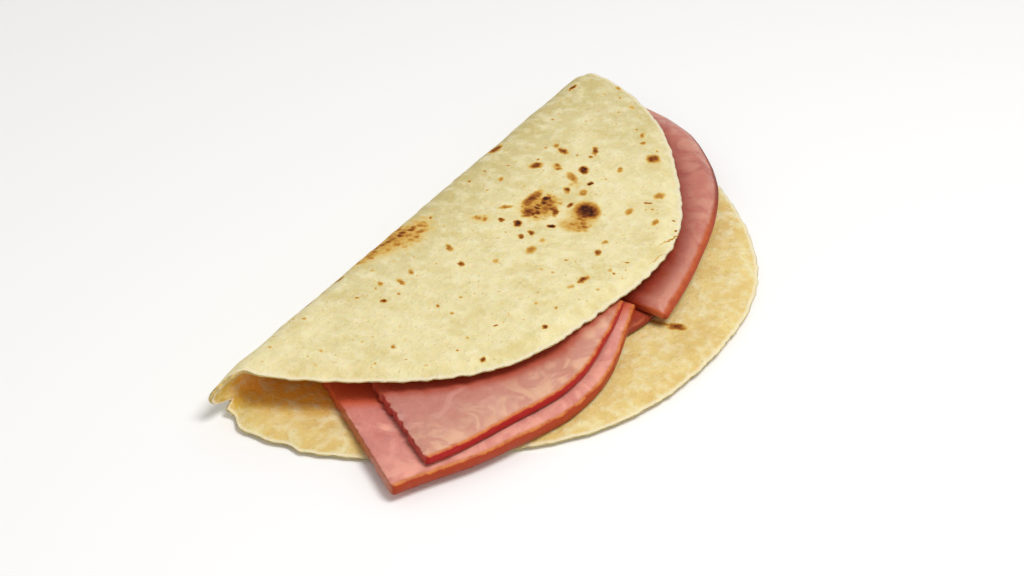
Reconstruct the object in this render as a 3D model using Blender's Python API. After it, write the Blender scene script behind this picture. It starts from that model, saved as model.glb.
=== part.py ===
"""Ham taco: a flour tortilla folded in half over four thin slices of ham.

X runs along the fold, the open edge faces -Y, and the tortilla lies on Z = 0.
Every size below is in millimetres.
"""
import math

import bmesh
import bpy
import numpy as np

MM = 0.001

# Tortilla: a flat disc, rolled over once into two sheets
TORTILLA_THICKNESS = 2.2
TORTILLA_RADIUS = 98.9
TORTILLA_CENTRE = (1.5, -6.0)
RIM_TAPER = 0.45
RIM_WIDTH = 0.07
# Each wave of the edge: how many go round, how far it swings, and where it peaks in degrees
TORTILLA_EDGE_WAVES = ((2, 5.3, 7.0), (3, 1.0, 9.0), (4, 1.4, 12.0), (6, 1.1, 7.0), (7, 0.8, -24.0))
# A lip, a notch and a flat at the fold's left end: how far out, at which angle and how wide, in degrees
TORTILLA_EDGE_MARKS = ((4.5, 172.8, 3.0), (-4.5, 177.8, 2.0), (-2.0, 162.0, 6.0))
BEND_RADIUS = 6.4
BEND_LENGTH = math.pi * BEND_RADIUS
FOLD_Y = -2.9
BEND_ROWS = 11
SHEET_ROWS = 27
SHEET_COLUMNS = 34

# How the two sheets wave: the lower one curls up towards its rim, the upper one ripples
LOWER_EDGE_LIFT = 0.7
LOWER_LIFT_FROM = 78.0
LOWER_LIFT_OVER = 26.0
UPPER_SHEET_WAVE = 0.35
UPPER_WAVE_GROWS_OVER = 30.0
LONG_WAVE = (17.0, 15.0)
CROSS_WAVE = (9.5, 13.0)
CROSS_WAVE_SHARE = 0.6
CROSSING_BUMP = 1.4
CROSSING_AT = (-14.0, -62.0)
CROSSING_WIDTH = (24.0, 30.0)

# Ham: where a slice stops short of the fold, and the space between two things that touch
FOLD_STOP_Y = -4.0
GAP = 0.3
AIR_SAG = 0.5
SAG_REACH = 20.0
DRAPE_REACH = 7
OUTLINE_SAMPLES = 60
HAM_COLUMNS = 20
HAM_ROWS = 12
EDGE_ROUNDING = 0.7
RIM_ANGLE = math.radians(60)
SHADING_ANGLE = math.radians(50)

# Height maps cover this field, one value per millimetre
FIELD_X = (-130, 130)
FIELD_Y = (-112, 12)


class Slice:
    """One slice of ham: the skin side as a few points, the inner side as two, and how thick it is."""

    def __init__(self, name, skin, inner, thickness, lies_on):
        self.name = name
        self.skin = skin
        self.inner = inner
        self.thickness = thickness
        self.lies_on = lies_on


SLICES = (
    Slice(
        "ham_slice_back_lower",
        ((-15.0, -73.0), (-8.0, -75.2), (2.0, -77.0), (16.0, -75.5), (40.0, -69.5),
         (60.0, -63.5), (76.0, -54.5), (90.0, -39.0), (97.0, -21.0), (99.0, FOLD_STOP_Y)),
        ((-4.0, FOLD_STOP_Y), (84.0, FOLD_STOP_Y)),
        3.0,
        (),
    ),
    Slice(
        "ham_slice_back_upper",
        ((-1.0, -82.6), (19.4, -79.6), (43.2, -73.8), (62.5, -68.2), (79.5, -59.0),
         (94.7, -43.3), (102.8, -26.8), (105.8, -12.0), (106.3, FOLD_STOP_Y)),
        ((-1.0, FOLD_STOP_Y), (86.0, FOLD_STOP_Y)),
        3.5,
        ("ham_slice_back_lower",),
    ),
    Slice(
        "ham_slice_front_lower",
        ((-108.0, -56.8), (-97.4, -62.3), (-85.2, -69.2), (-72.9, -74.2), (-56.6, -80.0),
         (-44.8, -81.5), (-34.7, -81.2), (-24.3, -79.3), (-13.3, -76.6), (-2.6, -73.4)),
        ((-68.0, FOLD_STOP_Y), (-2.6, -46.0)),
        4.1,
        ("ham_slice_back_lower",),
    ),
    Slice(
        "ham_slice_front_upper",
        ((-97.3, -60.6), (-88.0, -65.0), (-69.2, -71.0), (-53.5, -75.7), (-42.8, -76.9),
         (-31.8, -76.4), (-19.0, -74.9), (-7.6, -72.0)),
        ((-56.0, FOLD_STOP_Y), (-7.6, -44.0)),
        3.4,
        ("ham_slice_front_lower",),
    ),
)

TORTILLA_COLOUR = (0.80, 0.71, 0.40, 1.0)
HAM_COLOUR = (0.66, 0.34, 0.27, 1.0)


def clear_scene():
    """Remove every object of the start-up scene."""
    for item in list(bpy.data.objects):
        bpy.data.objects.remove(item, do_unlink=True)


def make_material(name, colour, roughness):
    """A plain food surface of one colour."""
    material = bpy.data.materials.new(name)
    material.use_nodes = True
    shader = material.node_tree.nodes["Principled BSDF"]
    shader.inputs["Base Color"].default_value = colour
    shader.inputs["Roughness"].default_value = roughness
    shader.inputs["Metallic"].default_value = 0.0
    return material


def smooth_step(value):
    """Zero below 0, one above 1, and a soft ramp between."""
    held = min(max(value, 0.0), 1.0)
    return held * held * (3.0 - 2.0 * held)


def slab_from_grid(columns, rows, place, thickness):
    """A slab with a chamfered rim: a grid of the unit square, laid out flat by place(s, t)."""
    slab = bmesh.new()
    bmesh.ops.create_grid(slab, x_segments=columns, y_segments=rows, size=0.5)
    for point in slab.verts:
        x, y = place(point.co.x + 0.5, point.co.y + 0.5)
        point.co = (x, y, -thickness / 2)
    bmesh.ops.triangulate(slab, faces=slab.faces[:], quad_method="SHORT_EDGE")
    grown = bmesh.ops.extrude_face_region(slab, geom=slab.faces[:])
    for item in grown["geom"]:
        if isinstance(item, bmesh.types.BMVert):
            item.co.z = thickness / 2
    bmesh.ops.recalc_face_normals(slab, faces=slab.faces[:])
    rim = [edge for edge in slab.edges if edge.calc_face_angle(0.0) > RIM_ANGLE]
    rim = [edge for edge in rim if abs(edge.verts[0].co.z - edge.verts[1].co.z) < 0.01]
    bmesh.ops.bevel(slab, geom=rim, offset=EDGE_ROUNDING, segments=1, profile=0.5,
                    affect="EDGES", material=-1, clamp_overlap=True)
    bmesh.ops.triangulate(slab, faces=slab.faces[:])
    return slab


def edge_radius(angle):
    """How far the edge of the flat tortilla is from its centre, in this direction."""
    swing = sum(
        far * math.cos(count * (angle - math.radians(peak)))
        for count, far, peak in TORTILLA_EDGE_WAVES
    )
    turned = math.degrees(angle) % 360
    marks = sum(
        far * math.exp(-((turned - peak) / width) ** 2)
        for far, peak, width in TORTILLA_EDGE_MARKS
    )
    return TORTILLA_RADIUS + swing + marks


def row_place(fraction):
    """Where a row of the tortilla's grid lies, -1 to 1 across the disc, with rows close at the bend."""
    low = (FOLD_Y - 1.0 - TORTILLA_CENTRE[1]) / TORTILLA_RADIUS
    high = (FOLD_Y + BEND_LENGTH + 1.0 - TORTILLA_CENTRE[1]) / TORTILLA_RADIUS
    total = BEND_ROWS + SHEET_ROWS
    lower_rows = round(SHEET_ROWS * (1 + low) / (2 + low - high))
    marks = (0.0, lower_rows / total, (lower_rows + BEND_ROWS) / total, 1.0)
    return float(np.interp(fraction, marks, (-1.0, low, high, 1.0)))


def tortilla_flat(s, t):
    """A point of the unit square, taken onto the flat tortilla."""
    x, y = 2 * s - 1, row_place(t)
    across = x * math.sqrt(1 - y * y / 2)
    along = y * math.sqrt(1 - x * x / 2)
    angle = math.atan2(along, across)
    out = math.hypot(across, along) * edge_radius(angle)
    return TORTILLA_CENTRE[0] + out * math.cos(angle), TORTILLA_CENTRE[1] + out * math.sin(angle)


def lower_lift(x, y):
    """How far the lower sheet's rim curls up from the table."""
    out = math.hypot(x, y)
    swell = 0.5 - 0.5 * math.sin(3 * math.atan2(-y, -x))
    return LOWER_EDGE_LIFT * smooth_step((out - LOWER_LIFT_FROM) / LOWER_LIFT_OVER) * swell


def upper_lift(x, y):
    """How far the upper sheet waves from a level plane."""
    away = smooth_step((FOLD_Y - y) / UPPER_WAVE_GROWS_OVER)
    wave = math.sin(x / LONG_WAVE[0] + 0.6) * math.cos(y / LONG_WAVE[1] - 0.4)
    wave += CROSS_WAVE_SHARE * math.sin(x / CROSS_WAVE[0] - y / CROSS_WAVE[1])
    off_x, off_y = (x - CROSSING_AT[0]) / CROSSING_WIDTH[0], (y - CROSSING_AT[1]) / CROSSING_WIDTH[1]
    bump = math.exp(-off_x * off_x - off_y * off_y)
    return away * (UPPER_SHEET_WAVE * wave + CROSSING_BUMP * bump)


def rim_share(u, v):
    """The share of its full thickness that the tortilla has here: less along its rim."""
    x, y = u - TORTILLA_CENTRE[0], v - TORTILLA_CENTRE[1]
    out = math.hypot(x, y) / edge_radius(math.atan2(y, x))
    return 1 - RIM_TAPER * smooth_step((out - 1 + RIM_WIDTH) / RIM_WIDTH)


def fold(u, v, level):
    """A point of the flat tortilla, rolled over the fold; level is its height over the mid face."""
    floor = TORTILLA_THICKNESS / 2
    inward = level * rim_share(u, v)
    if v <= FOLD_Y:
        return u, v, floor + inward + lower_lift(u, v)
    turned = (v - FOLD_Y) / BEND_RADIUS
    if turned < math.pi:
        arm = BEND_RADIUS - inward
        return u, FOLD_Y + arm * math.sin(turned), floor + BEND_RADIUS - arm * math.cos(turned)
    y = 2 * FOLD_Y + BEND_LENGTH - v
    return u, y, floor + 2 * BEND_RADIUS - inward + upper_lift(u, y)


def smooth_line(points, fraction):
    """A point on the soft curve through these points, at this fraction of its length."""
    steps = [math.dist(a, b) for a, b in zip(points, points[1:])]
    along = fraction * sum(steps)
    leg = 0
    while leg < len(steps) - 1 and along > steps[leg]:
        along -= steps[leg]
        leg += 1
    t = min(along / steps[leg], 1.0)
    before = points[max(leg - 1, 0)]
    start, end = points[leg], points[leg + 1]
    after = points[min(leg + 2, len(points) - 1)]
    return tuple(
        0.5 * (2 * b + (c - a) * t + (2 * a - 5 * b + 4 * c - d) * t ** 2
               + (3 * b - a - 3 * c + d) * t ** 3)
        for a, b, c, d in zip(before, start, end, after)
    )


def slice_flat(ham, s, t):
    """A point of the unit square, taken onto the slice: t runs from the inner side to the skin."""
    skin = smooth_line(ham.skin, s)
    (ax, ay), (bx, by) = ham.inner
    inner = (ax + (bx - ax) * s, ay + (by - ay) * s)
    return inner[0] + (skin[0] - inner[0]) * t, inner[1] + (skin[1] - inner[1]) * t


def field_axes():
    """The X and Y of every value of a height map."""
    x = np.arange(FIELD_X[0], FIELD_X[1] + 1)
    y = np.arange(FIELD_Y[0], FIELD_Y[1] + 1)
    return np.meshgrid(x, y, indexing="ij")


def spread(field, reach, join):
    """A height map where each value is joined with those within reach, by their highest or mean."""
    padded = np.pad(field, reach, mode="edge")
    near = [
        padded[reach + i:reach + i + field.shape[0], reach + j:reach + j + field.shape[1]]
        for i in range(-reach, reach + 1)
        for j in range(-reach, reach + 1)
        if i * i + j * j <= reach * reach
    ]
    return join(np.stack(near), axis=0)


def outline_mask(ham):
    """Which values of a height map lie within the slice, seen from above."""
    shares = [i / OUTLINE_SAMPLES for i in range(OUTLINE_SAMPLES + 1)]
    sides = [slice_flat(ham, share, 1.0) for share in shares]
    sides += [slice_flat(ham, share, 0.0) for share in reversed(shares)]
    x, y = field_axes()
    inside = np.zeros(x.shape, bool)
    for (ax, ay), (bx, by) in zip(sides, sides[1:] + sides[:1]):
        if ay == by:
            continue
        crosses = (ay > y) != (by > y)
        inside ^= crosses & (x < ax + (bx - ax) * (y - ay) / (by - ay))
    return inside


def bare_floor():
    """The height of what the ham lies on: the lower sheet, and open air sagging past its edge."""
    x, y = field_axes()
    out = np.hypot(x - TORTILLA_CENTRE[0], y - TORTILLA_CENTRE[1])
    angle = np.arctan2(y - TORTILLA_CENTRE[1], x - TORTILLA_CENTRE[0])
    edge = np.vectorize(edge_radius)(angle)
    past = np.clip((out - edge) / SAG_REACH, 0, 1)
    return TORTILLA_THICKNESS + np.vectorize(lower_lift)(x, y) - AIR_SAG * past


def height_at(field, x, y):
    """The height map's value at a point, between its four nearest."""
    column = min(max(x - FIELD_X[0], 0), field.shape[0] - 1.001)
    row = min(max(y - FIELD_Y[0], 0), field.shape[1] - 1.001)
    i, j = int(column), int(row)
    a, b = column - i, row - j
    near = field[i:i + 2, j:j + 2]
    return float(near[0, 0] * (1 - a) * (1 - b) + near[1, 0] * a * (1 - b)
                 + near[0, 1] * (1 - a) * b + near[1, 1] * a * b)


def drape_slices():
    """The underside of each slice as a height map, each laid over the ones below it."""
    tops = {}
    undersides = {}
    floor = bare_floor()
    for ham in SLICES:
        carried = floor.copy()
        for other in ham.lies_on:
            carried = np.maximum(carried, tops[other])
        raised = spread(carried, DRAPE_REACH + 1, np.max)
        undersides[ham.name] = spread(raised, DRAPE_REACH, np.mean) + GAP
        covered = outline_mask(ham)
        tops[ham.name] = np.where(covered, undersides[ham.name] + ham.thickness, carried)
    return undersides


def make_object(name, slab, material, shift):
    """Finish a slab as one named object, in metres, with the whole part's origin on the table."""
    for point in slab.verts:
        point.co = [(value - moved) * MM for value, moved in zip(point.co, shift)]
    bmesh.ops.recalc_face_normals(slab, faces=slab.faces[:])
    mesh = bpy.data.meshes.new(name)
    slab.to_mesh(mesh)
    slab.free()
    mesh.materials.append(material)
    mesh.shade_smooth()
    mesh.set_sharp_from_angle(angle=SHADING_ANGLE)
    made = bpy.data.objects.new(name, mesh)
    bpy.context.scene.collection.objects.link(made)
    return made


def make_tortilla():
    """The folded tortilla, as a slab in millimetres."""
    slab = slab_from_grid(SHEET_COLUMNS, BEND_ROWS + SHEET_ROWS, tortilla_flat, TORTILLA_THICKNESS)
    for point in slab.verts:
        point.co = fold(*point.co)
    return slab


def make_slice(ham, underside):
    """One slice of ham, as a slab in millimetres."""
    slab = slab_from_grid(
        HAM_COLUMNS, HAM_ROWS, lambda s, t: slice_flat(ham, s, t), ham.thickness
    )
    for point in slab.verts:
        below = height_at(underside, point.co.x, point.co.y)
        point.co.z += ham.thickness / 2 + below
    return slab


def bottom_centre(slabs):
    """The middle of the lowest face of the box round all the slabs."""
    points = np.array([point.co for slab in slabs for point in slab.verts])
    low, high = points.min(axis=0), points.max(axis=0)
    return (low[0] + high[0]) / 2, (low[1] + high[1]) / 2, low[2]


def main():
    """Build the tortilla and its filling."""
    clear_scene()
    undersides = drape_slices()
    slabs = {"tortilla": make_tortilla()}
    for ham in SLICES:
        slabs[ham.name] = make_slice(ham, undersides[ham.name])
    shift = bottom_centre(slabs.values())
    baked = make_material("tortilla", TORTILLA_COLOUR, 0.75)
    cured = make_material("ham", HAM_COLOUR, 0.4)
    for name, slab in slabs.items():
        make_object(name, slab, baked if name == "tortilla" else cured, shift)


main()
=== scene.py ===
"""Ham taco: a toasted flour tortilla folded over four slices of cooked ham.

Shapes are worked out in millimetres on the flat plan, X along the fold and the open edge towards
-Y, then moved to the part's own frame and written in metres.
"""
import logging
import math
from collections.abc import Callable
from dataclasses import dataclass, field
from enum import Enum
from typing import Any

import bmesh
import bpy
import numpy as np
from mathutils import Matrix, Vector, noise


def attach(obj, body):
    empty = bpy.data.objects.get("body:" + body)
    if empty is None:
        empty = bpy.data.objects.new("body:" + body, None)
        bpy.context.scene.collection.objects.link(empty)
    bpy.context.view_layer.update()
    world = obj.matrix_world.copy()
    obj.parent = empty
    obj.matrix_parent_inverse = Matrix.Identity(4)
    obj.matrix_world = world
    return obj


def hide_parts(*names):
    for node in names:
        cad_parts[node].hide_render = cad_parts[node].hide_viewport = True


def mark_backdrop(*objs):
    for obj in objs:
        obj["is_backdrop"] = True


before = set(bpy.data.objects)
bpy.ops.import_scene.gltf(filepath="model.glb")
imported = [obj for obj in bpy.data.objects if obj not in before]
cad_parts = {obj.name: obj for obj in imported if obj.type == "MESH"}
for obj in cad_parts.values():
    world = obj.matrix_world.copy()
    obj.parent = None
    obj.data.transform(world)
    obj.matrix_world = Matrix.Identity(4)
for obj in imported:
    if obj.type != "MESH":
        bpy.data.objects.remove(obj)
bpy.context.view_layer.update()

MM = 0.001
# Where the part's origin lies on the flat plan: the middle of the whole part's box
PLAN_ORIGIN = (-0.078, -47.782)
# How far the tortilla's faces lie apart where its patterns are read: far enough that none of them
# shows through
THROUGH = 50.0 * MM
LOG = logging.getLogger("ham_taco")


# Helpers


def linear(hex_colour: str) -> tuple[float, float, float, float]:
    """Turn an sRGB hex colour into linear light.

    Args:
        hex_colour: Six hex digits after a hash.

    Returns:
        Red, green, blue and an alpha of one.
    """
    shares = [int(hex_colour[i:i + 2], 16) / 255 for i in (1, 3, 5)]
    lit = [c / 12.92 if c <= 0.04045 else ((c + 0.055) / 1.055) ** 2.4 for c in shares]
    return (lit[0], lit[1], lit[2], 1.0)


def per_mm(size: float) -> float:
    """Texture scale for a pattern whose features are this many millimetres."""
    return 1 / (size * MM)


def smooth_step(value: float) -> float:
    """Zero below 0, one above 1, and a soft ramp between."""
    held = min(max(value, 0.0), 1.0)
    return held * held * (3 - 2 * held)


def ripple(x: float, y: float, size: float, seed: float = 0.0) -> float:
    """Soft noise of about this size in millimetres, from about -1 to 1."""
    return noise.noise(Vector((x / size, y / size, seed)))


def add_node(tree: bpy.types.NodeTree, kind: str, sockets: dict[str | int, Any] | None = None,
             stops: tuple[tuple[float, str], ...] = (), **settings: Any) -> bpy.types.Node:
    """Add one node with its settings and links.

    Args:
        tree: The node tree that gets the node.
        kind: The node's type name.
        sockets: For each input, by name or number, a value or the output that feeds it.
        stops: The positions and hex colours of a colour ramp.
        settings: The node's own properties.

    Returns:
        The new node.
    """
    node = tree.nodes.new(kind)
    for name, value in settings.items():
        setattr(node, name, value)
    for key, value in (sockets or {}).items():
        if isinstance(value, bpy.types.NodeSocket):
            tree.links.new(value, node.inputs[key])
        else:
            node.inputs[key].default_value = value
    if stops:
        ramp = node.color_ramp.elements
        while len(ramp) < len(stops):
            ramp.new(0.5)
        for element, (place, colour) in zip(ramp, stops):
            element.position = place
            element.color = linear(colour)
    return node


def unit_slab(columns: int, rows: int, rim_cuts: int) -> bmesh.types.BMesh:
    """A closed slab of the unit square, its two faces at Z -1 and 1.

    Args:
        columns: Cells along X.
        rows: Cells along Y.
        rim_cuts: Loops cut round the rim.

    Returns:
        The slab, ready to be laid out.
    """
    slab = bmesh.new()
    bmesh.ops.create_grid(slab, x_segments=columns, y_segments=rows, size=0.5)
    bmesh.ops.translate(slab, verts=slab.verts[:], vec=(0.5, 0.5, -1.0))
    grown = bmesh.ops.extrude_face_region(slab, geom=slab.faces[:])
    top = [item for item in grown["geom"] if isinstance(item, bmesh.types.BMVert)]
    bmesh.ops.translate(slab, verts=top, vec=(0.0, 0.0, 2.0))
    upright = [edge for edge in slab.edges if abs(edge.verts[0].co.z - edge.verts[1].co.z) > 1]
    bmesh.ops.subdivide_edges(slab, edges=upright, cuts=rim_cuts, use_grid_fill=True)
    return slab


def finish_piece(name: str, slab: bmesh.types.BMesh, material: bpy.types.Material) -> bpy.types.Object:
    """Move a slab from the plan to the part's frame and make it the piece that stands for a node.

    Args:
        name: The CAD node that the piece replaces.
        slab: The piece in millimetres on the plan.
        material: Its finish.

    Returns:
        The piece, riding on the body.
    """
    bmesh.ops.translate(slab, verts=slab.verts[:], vec=(-PLAN_ORIGIN[0], -PLAN_ORIGIN[1], 0.0))
    bmesh.ops.scale(slab, verts=slab.verts[:], vec=(MM, MM, MM))
    bmesh.ops.recalc_face_normals(slab, faces=slab.faces[:])
    mesh = bpy.data.meshes.new(f"{name}_detail")
    slab.to_mesh(mesh)
    slab.free()
    mesh.materials.append(material)
    mesh.shade_smooth()
    piece = bpy.data.objects.new(f"{name}_detail", mesh)
    bpy.context.scene.collection.objects.link(piece)
    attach(piece, "root")
    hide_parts(name)
    LOG.info("%s: %d faces", piece.name, len(mesh.polygons))
    return piece


# Toasting


class Toast(Enum):
    """How far a spot of the tortilla is toasted."""

    FAINT = 0.34
    GOLDEN = 0.5
    BROWN = 0.74
    CHARRED = 1.0


class Face(Enum):
    """Which face of the flat tortilla a mark is on, as a share of the way through it."""

    OUTER = 0.0
    INNER = 1.0


@dataclass(frozen=True)
class ToastMark:
    """A toasted spot: its middle and half lengths in millimetres on the flat tortilla."""

    u: float
    v: float
    length: float
    width: float
    turn: float
    toast: Toast
    broken: bool
    face: Face


# Rows of one kind of mark: middle, half lengths and turn in degrees. Those over 20 mm across the
# sheet are on the cheek that faces up, those near 14 are on the fold's ridge.
TOAST_ROWS: tuple[tuple[Toast, bool, Face, tuple[tuple[float, ...], ...]], ...] = (
    (Toast.CHARRED, False, Face.OUTER, (
        (27.0, 56.0, 4.6, 3.7, -40), (27.0, 42.0, 2.0, 1.2, 15), (9.5, 42.0, 2.0, 1.2, -30),
        (14.0, 51.0, 1.4, 1.0, 50), (47.0, 44.0, 2.2, 1.4, -27), (41.0, 49.5, 1.0, 0.8, -25),
        (36.6, 80.3, 0.6, 0.4, 0))),
    (Toast.CHARRED, True, Face.OUTER, (
        (21.5, 43.0, 7.5, 5.0, 0), (34.5, 45.0, 2.0, 1.1, -28), (-10.0, 20.0, 3.0, 1.4, 30))),
    (Toast.BROWN, False, Face.OUTER, (
        (24.5, 38.5, 5.6, 1.7, 0), (17.0, 41.5, 3.3, 1.9, -5), (22.0, 47.5, 3.0, 1.1, -30),
        (3.5, 46.5, 1.5, 0.9, -35), (7.0, 48.0, 1.7, 0.9, -45), (27.5, 50.0, 1.6, 0.8, 0),
        (42.0, 30.0, 2.5, 1.5, 20), (54.0, 33.0, 2.2, 1.3, -65), (59.0, 41.5, 2.8, 0.9, -28),
        (64.5, 59.0, 2.6, 2.1, -5), (40.5, 69.5, 1.2, 0.5, 55), (7.5, 70.0, 1.7, 0.9, -26),
        (-9.0, 74.0, 2.5, 1.1, 10), (8.5, 37.0, 1.2, 0.9, -23), (-19.0, 39.5, 1.3, 0.9, -34),
        (-47.0, 30.5, 1.0, 0.8, -32), (-35.5, 76.0, 0.9, 0.8, -22), (-57.0, 68.5, 0.9, 0.8, -24),
        (-43.0, 13.5, 2.2, 0.6, 8), (-58.0, 12.5, 3.0, 0.6, 4), (45.0, 14.5, 3.2, 1.4, 0),
        (92.0, 16.0, 2.2, 0.7, 5), (32.0, 83.3, 0.6, 0.4, 0))),
    (Toast.BROWN, True, Face.OUTER, (
        (19.5, 57.0, 5.6, 3.6, -30), (44.5, 36.0, 2.6, 1.5, -50), (-30.0, 29.0, 1.5, 1.0, -30),
        (-15.0, 16.5, 12.0, 6.0, 10), (-26.0, 13.0, 10.0, 3.6, 0))),
    (Toast.GOLDEN, False, Face.OUTER, (
        (15.5, 34.5, 2.6, 0.9, 42), (-2.0, 53.0, 2.6, 1.5, -10), (56.0, 29.5, 1.6, 0.9, -25),
        (41.5, 43.0, 3.2, 1.5, -50), (35.5, 50.0, 1.9, 1.2, -25), (46.0, 70.5, 2.3, 1.6, 5),
        (33.0, 67.0, 2.2, 1.0, -5), (31.5, 76.5, 2.2, 0.9, -10), (53.0, 53.5, 1.9, 0.9, -15),
        (14.0, 69.0, 1.5, 0.8, 5), (76.0, 49.5, 1.8, 0.8, -26), (71.5, 52.0, 1.2, 0.8, -23),
        (101.0, 27.5, 1.3, 1.0, -22), (29.0, 25.0, 1.5, 0.7, -14), (-13.0, 32.0, 2.3, 1.0, -48),
        (-36.0, 29.5, 2.0, 0.9, -60), (-40.0, 25.0, 1.2, 0.9, -30), (-65.0, 45.0, 1.0, 0.8, -32),
        (-50.0, 12.5, 1.6, 0.6, 0), (27.0, 84.2, 6.5, 0.3, 9))),
    (Toast.GOLDEN, True, Face.OUTER, ((5.5, 31.5, 3.4, 2.4, 50),)),
    (Toast.FAINT, False, Face.OUTER, (
        (24.0, 56.0, 7.5, 5.0, -30), (17.0, 55.0, 4.2, 3.0, -50), (21.5, 42.0, 8.5, 5.4, 0),
        (5.0, 53.0, 1.8, 1.0, -20), (17.0, 60.0, 2.3, 1.2, 85), (0.0, 78.0, 1.6, 0.7, -26),
        (-14.5, 73.0, 1.7, 0.9, 15), (91.0, 38.0, 1.8, 1.2, -24), (-13.0, 47.5, 1.7, 1.0, -19),
        (-77.0, 29.0, 1.0, 0.8, -36), (-19.0, 15.0, 13.5, 5.5, 3), (15.0, 85.8, 5.0, 0.25, 5))),
    (Toast.FAINT, True, Face.OUTER, ((38.5, 45.5, 2.8, 2.2, 10),)),
    # On the inner face, beside the corner of the top back slice
    (Toast.BROWN, False, Face.INNER, ((3.2, -84.6, 2.9, 1.8, -78),)),
    (Toast.GOLDEN, False, Face.INNER, ((2.4, -79.0, 4.2, 1.0, -82),)),
)
TOAST_MARKS = tuple(ToastMark(*row, toast, broken, face)
                    for toast, broken, face, rows in TOAST_ROWS for row in rows)


# Tortilla


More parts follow.
